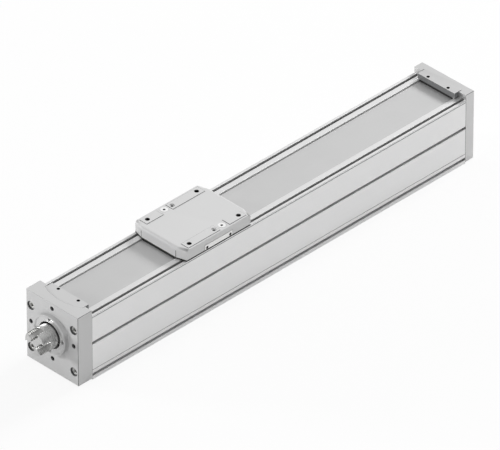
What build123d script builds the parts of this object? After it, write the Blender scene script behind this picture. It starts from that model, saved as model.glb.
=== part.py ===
from build123d import *
import os
from math import cos, radians, sin

os.makedirs("parts", exist_ok=True)

# Millimetres. X runs along the axis away from the drive end, Z is up,
# and the origin is the middle of the profile's base face.

# Driving sizes
profile_width = 60.0
profile_height = 63.0
profile_length = 434.6
drive_cover_length = 16.0
end_cover_length = 9.8
screw_diameter = 12.0
carriage_rest = -72.7
carriage_half_length = 39.6

# Clearances
rail_gap = 0.3
neck_gap = 0.2
band_gap = 0.15
run_gap = 0.05
thread_gap = 0.02
slide_gap = 0.5

# Extruded profile
base_top = profile_height / 6
wall_thickness = 9.4
lip_reach = 10.35
lip_height = 6.0
slot_mouth = 2.6
slot_lip = 1.5
slot_chamber = 5.4
slot_depth = 4.6
low_slot_height = 4.8
top_slot_inset = 3.8
line_groove = 0.6
cavity_half = profile_width / 2 - wall_thickness
opening_half = profile_width / 2 - lip_reach
lip_bottom = profile_height - lip_height
top_slot_offset = profile_width / 2 - top_slot_inset
side_slot_heights = (0.573 * profile_height, low_slot_height)
half_length = profile_length / 2

# Covers and drive end
cover_bottom = 1.3
cover_rise = 5.8
tongue_half = profile_width / 2 - 8.7
tongue_reach = 5.0
spigot_reach = 12.0
flange_radius = 24.8
flange_hole_radius = 2.1
flange_hole_depth = 12.0
boss_radius = 18.6
boss_reach = 3.7
hub_radius = screw_diameter / 2 + 5.0
hub_length = 12.5
claw_length = 8.0
claw_gap_radius = hub_radius * 0.545
corner_inset = 5.25
corner_low = 13.2
milled_depth = 0.5
relief_width = 0.7
relief_length = 3.0
relief_depth = 1.2
shaft_height = 0.6175 * profile_height
drive_journal_radius = screw_diameter / 2 - 1.0
end_journal_radius = screw_diameter / 2 - 2.0
cover_top = profile_height + cover_rise
corner_high = profile_height - 8.6
corner_mid = (corner_low + corner_high) / 2
corner_spacing_y = profile_width - 2 * corner_inset
corner_spacing_z = corner_high - corner_low
cover_mid = (cover_bottom + cover_top) / 2
drive_face = -half_length - drive_cover_length
end_face = half_length + end_cover_length

# Guide and band
rail_width = profile_width / 4
rail_height = 0.159 * profile_height
rail_seat = base_top - 0.8
rail_end_gap = 1.5
rail_top = rail_seat + rail_height
rail_pitch = 80.0
rail_screw_count = int(profile_length / rail_pitch)
rail_screw_radius = 1.5
rail_screw_head = 2.75
rail_screw_head_height = 3.0
rail_sink = 4.5
rail_screw_grip = 6.0
block_width = rail_width + 17.0
block_length = 22.0
block_cap_length = 5.0
block_spacing = carriage_half_length - 5.6
block_bottom = rail_seat + 0.4 * rail_height
block_top = rail_seat + 0.259 * profile_height
band_thickness = 0.5
band_bottom = profile_height - 1.7
band_top = band_bottom + band_thickness
band_half = opening_half - 0.85
spigot_bottom = rail_top + 1.8

# Carriage
carriage_side_half = carriage_half_length - 2.95
carriage_face_half = profile_width / 3
carriage_bottom = profile_height + slide_gap
carriage_top = profile_height + 11.0
carriage_edge = 3.0
load_spacing_x = 2 * carriage_half_length - 22.6
load_spacing_y = profile_width - 11.5
load_hole_radius = 2.1
load_hole_depth = 9.0
neck_half = opening_half - neck_gap

# Cap screws of the covers
cover_screw_radius = 2.0
cover_screw_grip = 11.0
cover_screw_head = 3.5
cover_screw_head_height = 4.0
counterbore_radius = 4.1
counterbore_depth = 5.2

section_plane = Plane.YZ.offset(-half_length)
drive_plane = Plane.YZ.offset(drive_face)
shaft_plane = Plane(origin=(0, 0, shaft_height), x_dir=(0, 1, 0), z_dir=(1, 0, 0))


def corner_circles(radius):
    """Circles at the four cover screws, seen along the axis."""
    with Locations((0, corner_mid)):
        with GridLocations(corner_spacing_y, corner_spacing_z, 2, 2):
            Circle(radius)


# A slot seen end on, with its mouth at the origin and its chamber below
with BuildSketch() as slot_shape:
    with Locations((0, -slot_lip / 2)):
        Rectangle(slot_mouth, slot_lip)
    with Locations((0, -(slot_lip + slot_depth) / 2)):
        Rectangle(slot_chamber, slot_depth - slot_lip)


# Extruded profile: base, two walls with sensor slots, and lips beside the opening
with BuildPart() as profile:
    with BuildSketch(section_plane):
        with Locations((0, profile_height / 2)):
            Rectangle(profile_width, profile_height)
        with Locations((0, (base_top + lip_bottom) / 2)):
            Rectangle(2 * cavity_half, lip_bottom - base_top, mode=Mode.SUBTRACT)
        with Locations((0, (lip_bottom + profile_height) / 2)):
            Rectangle(2 * opening_half, profile_height - lip_bottom, mode=Mode.SUBTRACT)
        with Locations((0, (rail_seat + base_top) / 2)):
            Rectangle(rail_width + 0.1, base_top - rail_seat, mode=Mode.SUBTRACT)
        for side in (-1, 1):
            for height in side_slot_heights:
                with Locations((side * profile_width / 2, height)):
                    add(slot_shape.sketch, rotation=-90 * side, mode=Mode.SUBTRACT)
            with Locations((side * top_slot_offset, profile_height)):
                add(slot_shape.sketch, mode=Mode.SUBTRACT)
            with Locations((side * profile_width / 2, profile_height - 1.4)):
                Rectangle(1.5 * line_groove, line_groove, mode=Mode.SUBTRACT)
            with Locations((side * profile_width / 2, 2 * low_slot_height)):
                Rectangle(line_groove, line_groove / 2, mode=Mode.SUBTRACT)
            with Locations((side * rail_width, 0)):
                Rectangle(5.0, 1.0, mode=Mode.SUBTRACT)
    extrude(amount=profile_length)
    with Locations(Plane.XY.offset(rail_seat)):
        with GridLocations(rail_pitch, 0, rail_screw_count, 1):
            Hole(rail_screw_radius, depth=rail_screw_grip + 0.5)
    for end in (-1, 1):
        with BuildSketch(Plane.YZ.offset(end * half_length)):
            corner_circles(cover_screw_radius)
        extrude(amount=-end * (cover_screw_grip + 2.0), mode=Mode.SUBTRACT)
profile.part.label = "profile"
export_step(profile.part, "parts/profile.step")


# Drive cover: plate, boss for the ring nut, spigot for the bearings, tongue over the band
ring_radius = 17.0
ring_front = drive_face - boss_reach + 0.5
ring_depth = 5.0
bearing_front = drive_face + ring_depth
bearing_radius = 15.0
bearing_length = 18.0
bearing_back = bearing_front + bearing_length
clamp_hole_spacing = 23.2
clamp_hole_radius = 1.5
clamp_x = half_length - tongue_reach / 2

with BuildPart() as drive_cover:
    with BuildSketch(drive_plane):
        with Locations((0, cover_mid)):
            Rectangle(profile_width, cover_top - cover_bottom)
    extrude(amount=drive_cover_length)
    chamfer(drive_cover.faces().sort_by(Axis.X)[0].edges(), 0.3)
    with BuildSketch(section_plane):
        with Locations((0, (profile_height + cover_top) / 2)):
            Rectangle(2 * tongue_half, cover_rise)
    extrude(amount=tongue_reach)
    with BuildSketch(section_plane):
        with Locations((0, (spigot_bottom + band_bottom) / 2)):
            Rectangle(2 * neck_half, band_bottom - spigot_bottom)
    extrude(amount=spigot_reach)
    with BuildSketch(drive_plane):
        with Locations((0, shaft_height)):
            Circle(boss_radius)
    extrude(amount=-boss_reach)
    with BuildSketch(Plane.YZ.offset(drive_face - boss_reach)):
        with Locations((0, shaft_height)):
            Circle(ring_radius)
    extrude(amount=boss_reach + ring_depth, mode=Mode.SUBTRACT)
    with BuildSketch(Plane.YZ.offset(bearing_front)):
        with Locations((0, shaft_height)):
            Circle(bearing_radius)
    extrude(amount=bearing_length, mode=Mode.SUBTRACT)
    with BuildSketch(Plane.YZ.offset(bearing_back)):
        with Locations((0, shaft_height)):
            Circle(bearing_radius - 3.0)
    extrude(amount=spigot_reach, mode=Mode.SUBTRACT)
    with BuildSketch(drive_plane):
        with Locations((0, shaft_height)):
            with PolarLocations(flange_radius, 4):
                Circle(flange_hole_radius)
    extrude(amount=flange_hole_depth, mode=Mode.SUBTRACT)
    with BuildSketch(drive_plane):
        corner_circles(cover_screw_radius + 0.2)
    extrude(amount=drive_cover_length, mode=Mode.SUBTRACT)
    with BuildSketch(drive_plane):
        corner_circles(counterbore_radius)
    extrude(amount=counterbore_depth, mode=Mode.SUBTRACT)
    with BuildSketch(Plane.XY.offset(cover_top)):
        with Locations((-clamp_x, 0)):
            with GridLocations(0, clamp_hole_spacing, 1, 2):
                Circle(clamp_hole_radius)
    extrude(amount=-cover_rise, mode=Mode.SUBTRACT)
    with BuildSketch(Plane.XY.offset(cover_top)):
        with BuildLine():
            milled_back = -half_length + tongue_reach
            milled_front = -half_length - relief_length
            Line((milled_back, -tongue_half), (milled_front, -tongue_half))
            ThreePointArc((milled_front, -tongue_half), (milled_front - 4.8, 0), (milled_front, tongue_half))
            Line((milled_front, tongue_half), (milled_back, tongue_half))
            Line((milled_back, tongue_half), (milled_back, -tongue_half))
        make_face()
    extrude(amount=-milled_depth, mode=Mode.SUBTRACT)
    with BuildSketch(Plane.XY.offset(cover_top)):
        with Locations((-half_length - relief_length / 2, 0)):
            with GridLocations(0, 2 * tongue_half + relief_width, 1, 2):
                Rectangle(relief_length, relief_width)
    extrude(amount=-relief_depth, mode=Mode.SUBTRACT)
drive_cover.part.label = "drive_cover"
export_step(drive_cover.part, "parts/drive_cover.step")


# End cover: plate, spigot for the floating bearing, tongue over the band
end_bearing_radius = 11.0
end_bearing_length = 7.0
end_bearing_front = half_length - 10.0
end_bearing_back = end_bearing_front + end_bearing_length

with BuildPart() as end_cover:
    with BuildSketch(Plane.YZ.offset(half_length)):
        with Locations((0, cover_mid)):
            Rectangle(profile_width, cover_top - cover_bottom)
    extrude(amount=end_cover_length)
    chamfer(end_cover.faces().sort_by(Axis.X)[-1].edges(), 0.3)
    with BuildSketch(Plane.YZ.offset(half_length)):
        with Locations((0, (profile_height + cover_top) / 2)):
            Rectangle(2 * tongue_half, cover_rise)
    extrude(amount=-tongue_reach)
    with BuildSketch(Plane.YZ.offset(half_length)):
        with Locations((0, (spigot_bottom + band_bottom) / 2)):
            Rectangle(2 * neck_half, band_bottom - spigot_bottom)
    extrude(amount=-spigot_reach)
    with BuildSketch(Plane.YZ.offset(half_length - spigot_reach)):
        with Locations((0, shaft_height)):
            Circle(end_bearing_radius)
    extrude(amount=end_bearing_back - half_length + spigot_reach, mode=Mode.SUBTRACT)
    with BuildSketch(Plane.YZ.offset(end_bearing_back)):
        with Locations((0, shaft_height)):
            Circle(end_bearing_radius - 2.5)
    extrude(amount=end_cover_length / 2, mode=Mode.SUBTRACT)
    with BuildSketch(Plane.YZ.offset(end_face)):
        corner_circles(cover_screw_radius + 0.2)
    extrude(amount=-end_cover_length, mode=Mode.SUBTRACT)
    with BuildSketch(Plane.YZ.offset(end_face)):
        corner_circles(counterbore_radius)
    extrude(amount=-counterbore_depth, mode=Mode.SUBTRACT)
    with BuildSketch(Plane.XY.offset(cover_top)):
        with Locations((clamp_x, 0)):
            with GridLocations(0, clamp_hole_spacing, 1, 2):
                Circle(clamp_hole_radius)
    extrude(amount=-cover_rise, mode=Mode.SUBTRACT)
    with BuildSketch(Plane.XY.offset(cover_top)):
        with Locations((half_length + relief_length / 2, 0)):
            with GridLocations(0, 2 * tongue_half + relief_width, 1, 2):
                Rectangle(relief_length, relief_width)
    extrude(amount=-relief_depth, mode=Mode.SUBTRACT)
end_cover.part.label = "end_cover"
export_step(end_cover.part, "parts/end_cover.step")


def cap_screw(head_radius, head_height, shank_radius, length):
    """Plain cap screw with the head's underside at the origin and the shank along -Z."""
    with BuildPart() as screw:
        with BuildSketch():
            Circle(head_radius)
        extrude(amount=head_height)
        with BuildSketch():
            Circle(shank_radius)
        extrude(amount=-length)
    return screw.part


def grub_screw(radius, length):
    """Headless screw with its top face at the origin."""
    with BuildPart() as screw:
        with BuildSketch():
            Circle(radius)
        extrude(amount=-length)
    return screw.part


# Screws that hold the covers on the profile
screw_sizes = (cover_screw_head, cover_screw_head_height, cover_screw_radius - thread_gap)
drive_screw = cap_screw(*screw_sizes, drive_cover_length - counterbore_depth + cover_screw_grip)
end_screw = cap_screw(*screw_sizes, end_cover_length - counterbore_depth + cover_screw_grip)

with BuildPart() as drive_cover_screws:
    seat = Plane(origin=(drive_face + counterbore_depth, 0, corner_mid), x_dir=(0, 1, 0), z_dir=(-1, 0, 0))
    with Locations(seat):
        with GridLocations(corner_spacing_y, corner_spacing_z, 2, 2):
            add(drive_screw)
drive_cover_screws.part.label = "drive_cover_screws"
export_step(drive_cover_screws.part, "parts/drive_cover_screws.step")

with BuildPart() as end_cover_screws:
    seat = Plane(origin=(end_face - counterbore_depth, 0, corner_mid), x_dir=(0, 1, 0), z_dir=(1, 0, 0))
    with Locations(seat):
        with GridLocations(corner_spacing_y, corner_spacing_z, 2, 2):
            add(end_screw)
end_cover_screws.part.label = "end_cover_screws"
export_step(end_cover_screws.part, "parts/end_cover_screws.step")


# Cover band, held at both ends between the spigots and the clamp bars
with BuildPart() as cover_band:
    with Locations((0, 0, (band_bottom + band_top) / 2)):
        Box(profile_length - 0.4, 2 * band_half, band_top - band_bottom)
cover_band.part.label = "cover_band"
export_step(cover_band.part, "parts/cover_band.step")

clamp_length = 3.4
for name, end in (("drive_band_clamp", -1), ("end_band_clamp", 1)):
    with BuildPart() as band_clamp:
        with Locations((end * (half_length - clamp_length / 2 - 0.3), 0, (band_top + profile_height) / 2)):
            Box(clamp_length, 2 * band_half - 3.0, profile_height - band_top)
    band_clamp.part.label = name
    export_step(band_clamp.part, "parts/" + name + ".step")

clamp_screw_length = 3.2
clamp_screw = grub_screw(clamp_hole_radius - thread_gap, clamp_screw_length)
with BuildPart() as band_clamp_screws:
    with Locations(Plane.XY.offset(profile_height + clamp_screw_length)):
        with GridLocations(2 * clamp_x, clamp_hole_spacing, 2, 2):
            add(clamp_screw)
band_clamp_screws.part.label = "band_clamp_screws"
export_step(band_clamp_screws.part, "parts/band_clamp_screws.step")


# Guide rail in its seat, with a ball track along each side, and its screws
with BuildPart() as guide_rail:
    with BuildSketch(Plane.YZ.offset(rail_end_gap - half_length)):
        with Locations((0, rail_seat + rail_height / 2)):
            Rectangle(rail_width, rail_height)
        for side in (-1, 1):
            with Locations((side * rail_width / 2, rail_seat + 0.66 * rail_height)):
                RegularPolygon(1.4, 4, rotation=45, mode=Mode.SUBTRACT)
    extrude(amount=profile_length - 2 * rail_end_gap)
    with Locations(Plane.XY.offset(rail_top)):
        with GridLocations(rail_pitch, 0, rail_screw_count, 1):
            CounterBoreHole(rail_screw_radius + 0.25, rail_screw_head + 0.25, rail_sink)
guide_rail.part.label = "guide_rail"
export_step(guide_rail.part, "parts/guide_rail.step")

rail_screw_length = rail_height - rail_sink + rail_screw_grip
rail_screw = cap_screw(
    rail_screw_head, rail_screw_head_height, rail_screw_radius - thread_gap, rail_screw_length
)
with BuildPart() as rail_screws:
    with Locations(Plane.XY.offset(rail_top - rail_sink)):
        with GridLocations(rail_pitch, 0, rail_screw_count, 1):
            add(rail_screw)
rail_screws.part.label = "rail_screws"
export_step(rail_screws.part, "parts/rail_screws.step")


def round_piece(name, start, stop, outer, inner):
    """Ring around the shaft axis between two X positions."""
    with BuildPart() as ring:
        with BuildSketch(shaft_plane.offset(start)):
            Circle(outer)
            Circle(inner, mode=Mode.SUBTRACT)
        extrude(amount=stop - start)
    ring.part.label = name
    export_step(ring.part, "parts/" + name + ".step")


def bearing(name, start, stop, outer, bore):
    """Outer and inner ring with a small running gap where the balls would be."""
    gap_radius = (outer + bore) / 2
    round_piece(name + "_outer", start, stop, outer, gap_radius)
    round_piece(name + "_inner", start, stop, gap_radius - run_gap, bore)


bearing("drive_bearing", bearing_front, bearing_back, bearing_radius, drive_journal_radius)
bearing("end_bearing", end_bearing_front, end_bearing_back, end_bearing_radius, end_journal_radius)

# Rubber buffers on the spigots
buffer_length = 7.0
buffer_radius = bearing_radius - 1.0
buffer_bore = screw_diameter / 2 + 2.0
spigot_end = half_length - spigot_reach
round_piece("drive_buffer", -spigot_end, buffer_length - spigot_end, buffer_radius, buffer_bore)
round_piece("end_buffer", spigot_end - buffer_length, spigot_end, buffer_radius, buffer_bore)

# Shaft nut against the inner rings
hub_back = drive_face + 0.5
round_piece("shaft_nut", hub_back, bearing_front, drive_journal_radius + 4.0, drive_journal_radius)

# Slotted ring nut that holds the outer rings in the cover
with BuildPart() as ring_nut:
    with BuildSketch(shaft_plane.offset(ring_front)):
        Circle(ring_radius - thread_gap)
        Circle(hub_radius + 1.3, mode=Mode.SUBTRACT)
    extrude(amount=bearing_front - ring_front)
    with BuildSketch(shaft_plane.offset(ring_front)):
        with PolarLocations(ring_radius - 1.2, 4):
            Rectangle(4.0, 3.4)
    extrude(amount=2.2, mode=Mode.SUBTRACT)
ring_nut.part.label = "ring_nut"
export_step(ring_nut.part, "parts/ring_nut.step")

# Ball screw with its two journals
journal_start = drive_face - 10.5
with BuildPart() as ball_screw:
    with BuildSketch(shaft_plane.offset(bearing_back)):
        Circle(screw_diameter / 2)
    extrude(amount=end_bearing_front - bearing_back)
    with BuildSketch(shaft_plane.offset(journal_start)):
        Circle(drive_journal_radius)
    extrude(amount=bearing_back - journal_start)
    with BuildSketch(shaft_plane.offset(end_bearing_front)):
        Circle(end_journal_radius)
    extrude(amount=end_bearing_length + 1.0)
ball_screw.part.label = "ball_screw"
export_step(ball_screw.part, "parts/ball_screw.step")

# Coupling half: hub and three claws with hollow flanks
hub_front = hub_back - hub_length
with BuildPart() as coupling_hub:
    with BuildSketch(shaft_plane.offset(hub_front)):
        Circle(hub_radius)
    extrude(amount=hub_length)
    with BuildSketch(shaft_plane.offset(hub_front)):
        Circle(hub_radius)
        Circle(0.42 * hub_radius, mode=Mode.SUBTRACT)
        with PolarLocations(0.82 * hub_radius, 3, start_angle=76):
            Circle(claw_gap_radius, mode=Mode.SUBTRACT)
    extrude(amount=-claw_length)
    with BuildSketch(shaft_plane.offset(hub_front)):
        Circle(drive_journal_radius)
    extrude(amount=hub_length, mode=Mode.SUBTRACT)
coupling_hub.part.label = "coupling_hub"
export_step(coupling_hub.part, "parts/coupling_hub.step")


# Carriage: outer plate, narrow neck with the band's channel, and inner block
nut_flange = 8.0
nut_head_height = 3.0
neck_front = carriage_rest - carriage_half_length + nut_flange + nut_head_height + 0.6
neck_back = carriage_rest + carriage_half_length - 0.6
channel_half = band_half + band_gap
channel_bottom = band_bottom - 2 * band_gap
channel_top = band_top + 1.1
nut_radius = screw_diameter / 2 + 5.0
nut_screw_radius = nut_radius + 3.5
nut_screw_hole = 1.5
nut_screw_grip = 8.0
nut_screw_angles = (30, 150, 210, 330)
block_positions = [carriage_rest + side * block_spacing / 2 for side in (-1, 1)]
block_screw_offset = (block_width + rail_width) / 4
block_screw_radius = 1.5
block_screw_grip = 4.0
plate_plane = Plane(origin=(carriage_rest, 0, carriage_bottom))
top_plane = Plane(origin=(carriage_rest, 0, carriage_top))
pad_height = 0.3
pad_width = 9.0
pad_offset = profile_width / 2 - 6.0
pad_reach = carriage_half_length - 6.2
nipple_x = 8.8
nipple_offset = profile_width / 2 - 5.5
nipple_points = [(-nipple_x, nipple_offset), (nipple_x, -nipple_offset)]
pad_gap_half = 5.3
pad_spans = [(-pad_reach, -nipple_x - pad_gap_half), (pad_gap_half - nipple_x, pad_reach)]
nipple_radius = 3.3
nipple_depth = 5.0
centre_hole_radius = 2.3
centre_hole_depth = 1.0
centre_bore_radius = 1.2
side_plate_half = 16.3
side_plate_depth = 2.0
side_plate_top = carriage_bottom + 5.5
side_screw_spacing = 26.6
side_screw_height = side_plate_top - 3.2
side_screw_radius = 1.3
side_screw_grip = 5.0
side_screw_sink = 1.2

plan = [
    (-carriage_half_length, -carriage_face_half),
    (-carriage_side_half, -profile_width / 2),
    (carriage_side_half, -profile_width / 2),
    (carriage_half_length, -carriage_face_half),
    (carriage_half_length, carriage_face_half),
    (carriage_side_half, profile_width / 2),
    (-carriage_side_half, profile_width / 2),
    (-carriage_half_length, carriage_face_half),
]

with BuildPart() as carriage_body:
    with BuildSketch(plate_plane):
        with BuildLine():
            Polyline(*plan, close=True)
        make_face()
    extrude(amount=carriage_top - carriage_bottom)
    upper = carriage_body.faces().sort_by(Axis.Z)[-1].edges()
    end_edges = [edge for edge in upper if abs(edge.center().X - carriage_rest) > carriage_side_half]
    fillet(end_edges, carriage_edge)
    with BuildSketch(Plane(origin=(carriage_rest, 0, channel_top))):
        Rectangle(2 * carriage_half_length, 2 * neck_half)
    extrude(amount=carriage_bottom - channel_top)
    with BuildSketch(Plane(origin=((neck_front + neck_back) / 2, 0, block_top))):
        Rectangle(neck_back - neck_front, 2 * neck_half)
    extrude(amount=channel_top - block_top)
    with BuildSketch(Plane(origin=((neck_front + neck_back) / 2, 0, channel_bottom))):
        Rectangle(neck_back - neck_front, 2 * channel_half)
    extrude(amount=channel_top - channel_bottom, mode=Mode.SUBTRACT)
    with BuildSketch(shaft_plane.offset(neck_front)):
        Circle(nut_radius)
    extrude(amount=neck_back - neck_front, mode=Mode.SUBTRACT)
    with BuildSketch(shaft_plane.offset(neck_front)):
        for angle in nut_screw_angles:
            with Locations((nut_screw_radius * cos(radians(angle)), nut_screw_radius * sin(radians(angle)))):
                Circle(nut_screw_hole)
    extrude(amount=nut_screw_grip + 1.0, mode=Mode.SUBTRACT)
    with BuildSketch(Plane.XY.offset(block_top)):
        for position in block_positions:
            with Locations((position, 0)):
                with GridLocations(0, 2 * block_screw_offset, 1, 2):
                    Circle(block_screw_radius)
    extrude(amount=block_screw_grip, mode=Mode.SUBTRACT)
    with BuildSketch(top_plane):
        for side in (-1, 1):
            for start, stop in pad_spans:
                with Locations((side * (start + stop) / 2, side * pad_offset)):
                    Rectangle(stop - start, pad_width)
    extrude(amount=pad_height)
    with BuildSketch(top_plane.offset(pad_height)):
        with GridLocations(load_spacing_x, load_spacing_y, 2, 2):
            Circle(load_hole_radius)
    extrude(amount=-load_hole_depth, mode=Mode.SUBTRACT)
    with BuildSketch(top_plane.offset(pad_height)):
        with GridLocations(0, load_spacing_y, 1, 2):
            Circle(centre_hole_radius)
    extrude(amount=-centre_hole_depth, mode=Mode.SUBTRACT)
    with BuildSketch(top_plane.offset(pad_height)):
        with GridLocations(0, load_spacing_y, 1, 2):
            Circle(centre_bore_radius)
    extrude(amount=-load_hole_depth / 2, mode=Mode.SUBTRACT)
    with BuildSketch(top_plane):
        with Locations(*nipple_points):
            Circle(nipple_radius)
    extrude(amount=-nipple_depth, mode=Mode.SUBTRACT)
    for side in (-1, 1):
        with BuildSketch(Plane.XZ.offset(side * profile_width / 2)):
            with Locations((carriage_rest, (carriage_bottom + side_plate_top) / 2)):
                Rectangle(2 * side_plate_half, side_plate_top - carriage_bottom)
        extrude(amount=-side * side_plate_depth, mode=Mode.SUBTRACT)
        with BuildSketch(Plane.XZ.offset(side * profile_width / 2)):
            with Locations((carriage_rest, side_screw_height)):
                with GridLocations(side_screw_spacing, 0, 2, 1):
                    Circle(side_screw_radius)
        extrude(amount=-side * (side_plate_depth + side_screw_grip), mode=Mode.SUBTRACT)
carriage_body.part.label = "carriage_body"
export_step(carriage_body.part, "parts/carriage_body.step")


# Plates let into the carriage's sides, and their screws
with BuildPart() as side_plates:
    for side in (-1, 1):
        with BuildSketch(Plane.XZ.offset(side * profile_width / 2)):
            with Locations((carriage_rest, (carriage_bottom + side_plate_top) / 2)):
                Rectangle(2 * side_plate_half - 0.8, side_plate_top - carriage_bottom - 0.8)
            with Locations((carriage_rest, side_screw_height)):
                with GridLocations(side_screw_spacing, 0, 2, 1):
                    Circle(side_screw_radius + run_gap, mode=Mode.SUBTRACT)
        extrude(amount=-side * side_plate_depth)
side_plates.part.label = "side_plates"
export_step(side_plates.part, "parts/side_plates.step")

side_screw = grub_screw(side_screw_radius - thread_gap, side_plate_depth + side_screw_grip - side_screw_sink)
with BuildPart() as side_plate_screws:
    for side in (-1, 1):
        face = Plane(
            origin=(carriage_rest, side * (profile_width / 2 - side_screw_sink), side_screw_height),
            x_dir=(1, 0, 0),
            z_dir=(0, side, 0),
        )
        with Locations(face):
            with GridLocations(side_screw_spacing, 0, 2, 1):
                add(side_screw)
side_plate_screws.part.label = "side_plate_screws"
export_step(side_plate_screws.part, "parts/side_plate_screws.step")

# Grease nipples pressed into the carriage's top
with BuildPart() as grease_nipples:
    with BuildSketch(top_plane.offset(pad_height)):
        with Locations(*nipple_points):
            Circle(nipple_radius)
            Circle(1.15, mode=Mode.SUBTRACT)
    extrude(amount=-nipple_depth - pad_height)
grease_nipples.part.label = "grease_nipples"
export_step(grease_nipples.part, "parts/grease_nipples.step")

# Wipers under both ends of the carriage, just clear of the band
wiper_bottom = band_top + 0.1
wiper_offset = carriage_half_length - 3.0
with BuildPart() as band_wipers:
    for side in (-1, 1):
        with Locations((carriage_rest + side * wiper_offset, 0, (wiper_bottom + channel_top) / 2)):
            Box(2.0, 2 * band_half, channel_top - wiper_bottom)
band_wipers.part.label = "band_wipers"
export_step(band_wipers.part, "parts/band_wipers.step")


# Ball nut: body in the carriage's bore, flange with two flats, four screws
nut_body_length = 38.0
nut_flange_radius = nut_screw_radius + 4.0
nut_flat_half = shaft_height - block_top - 0.6
with BuildPart() as ball_nut:
    with BuildSketch(shaft_plane.offset(neck_front)):
        Circle(nut_radius - thread_gap)
    extrude(amount=nut_body_length)
    with BuildSketch(shaft_plane.offset(neck_front)):
        Circle(nut_flange_radius)
        Rectangle(3 * nut_flange_radius, 2 * nut_flat_half, mode=Mode.INTERSECT)
    extrude(amount=-nut_flange)
    with BuildSketch(shaft_plane.offset(neck_front)):
        for angle in nut_screw_angles:
            with Locations((nut_screw_radius * cos(radians(angle)), nut_screw_radius * sin(radians(angle)))):
                Circle(nut_screw_hole + 0.2)
    extrude(amount=-nut_flange, mode=Mode.SUBTRACT)
    with BuildSketch(shaft_plane.offset(neck_front - nut_flange)):
        Circle(screw_diameter / 2 + run_gap)
    extrude(amount=nut_flange + nut_body_length, mode=Mode.SUBTRACT)
ball_nut.part.label = "ball_nut"
export_step(ball_nut.part, "parts/ball_nut.step")

nut_screw = cap_screw(2.6, nut_head_height, nut_screw_hole - thread_gap, nut_flange + nut_screw_grip)
with BuildPart() as nut_screws:
    for angle in nut_screw_angles:
        seat = Plane(
            origin=(
                neck_front - nut_flange,
                nut_screw_radius * cos(radians(angle)),
                shaft_height + nut_screw_radius * sin(radians(angle)),
            ),
            x_dir=(0, 1, 0),
            z_dir=(-1, 0, 0),
        )
        with Locations(seat):
            add(nut_screw)
nut_screws.part.label = "nut_screws"
export_step(nut_screws.part, "parts/nut_screws.step")


def saddle(start, length, inset):
    """Block astride the rail, its outside drawn in all round by an inset."""
    with BuildPart() as block:
        with BuildSketch(Plane.YZ.offset(start)):
            with Locations((0, (block_bottom + block_top) / 2)):
                Rectangle(block_width - 2 * inset, block_top - block_bottom - 2 * inset)
            with Locations((0, (block_bottom + rail_top + rail_gap) / 2)):
                Rectangle(
                    rail_width + 2 * rail_gap, rail_top + rail_gap - block_bottom, mode=Mode.SUBTRACT
                )
        extrude(amount=length)
    return block.part


# Guide blocks, their end caps, and their screws from below
block_screw_head = 2.75
block_screw_head_height = 3.0
block_screw_seat = block_bottom + block_screw_head_height + 0.5
for name, position in zip(("front_guide_block", "rear_guide_block"), block_positions):
    with BuildPart() as guide_block:
        add(saddle(position - block_length / 2, block_length, 0))
        with BuildSketch(Plane(origin=(position, 0, block_bottom))):
            with GridLocations(0, 2 * block_screw_offset, 1, 2):
                Circle(block_screw_radius + 0.2)
        extrude(amount=block_top - block_bottom, mode=Mode.SUBTRACT)
        with BuildSketch(Plane(origin=(position, 0, block_bottom))):
            with GridLocations(0, 2 * block_screw_offset, 1, 2):
                Circle(block_screw_head + 0.25)
        extrude(amount=block_screw_seat - block_bottom, mode=Mode.SUBTRACT)
    guide_block.part.label = name
    export_step(guide_block.part, "parts/" + name + ".step")

with BuildPart() as guide_block_caps:
    for position in block_positions:
        for side in (-1, 1):
            add(saddle(position + side * block_length / 2, side * block_cap_length, rail_gap))
guide_block_caps.part.label = "guide_block_caps"
export_step(guide_block_caps.part, "parts/guide_block_caps.step")

block_screw_length = block_top - block_screw_seat + block_screw_grip - 0.5
block_screw = cap_screw(
    block_screw_head, block_screw_head_height, block_screw_radius - thread_gap, block_screw_length
)
with BuildPart() as guide_block_screws:
    for position in block_positions:
        with Locations(Plane(origin=(position, 0, block_screw_seat), x_dir=(1, 0, 0), z_dir=(0, 0, -1))):
            with GridLocations(0, 2 * block_screw_offset, 1, 2):
                add(block_screw)
guide_block_screws.part.label = "guide_block_screws"
export_step(guide_block_screws.part, "parts/guide_block_screws.step")
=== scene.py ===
"""Ball screw linear axis: finishes, screws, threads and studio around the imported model."""

import math

import bmesh
import bpy
from mathutils import Matrix, Vector


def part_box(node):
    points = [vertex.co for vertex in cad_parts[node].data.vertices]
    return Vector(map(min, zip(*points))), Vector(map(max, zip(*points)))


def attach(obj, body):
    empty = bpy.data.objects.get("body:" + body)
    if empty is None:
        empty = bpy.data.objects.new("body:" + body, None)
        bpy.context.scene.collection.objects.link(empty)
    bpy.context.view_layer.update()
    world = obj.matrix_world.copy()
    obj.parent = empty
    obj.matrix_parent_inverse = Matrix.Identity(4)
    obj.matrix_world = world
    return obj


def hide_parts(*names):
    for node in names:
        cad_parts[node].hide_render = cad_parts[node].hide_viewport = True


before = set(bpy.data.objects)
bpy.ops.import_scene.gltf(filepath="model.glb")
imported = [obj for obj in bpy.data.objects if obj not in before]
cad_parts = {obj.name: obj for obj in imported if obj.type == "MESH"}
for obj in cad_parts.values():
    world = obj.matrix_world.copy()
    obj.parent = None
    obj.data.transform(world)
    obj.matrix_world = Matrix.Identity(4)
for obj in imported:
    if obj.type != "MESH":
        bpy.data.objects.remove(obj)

bl_info = {
    "name": "Ball screw linear axis",
    "version": (1, 0, 0),
    "blender": (4, 5, 0),
    "location": "View3D > Sidebar > Linear axis",
    "description": "Finishes the pieces of a ball screw linear axis and sets its studio",
    "category": "Object",
}

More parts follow.
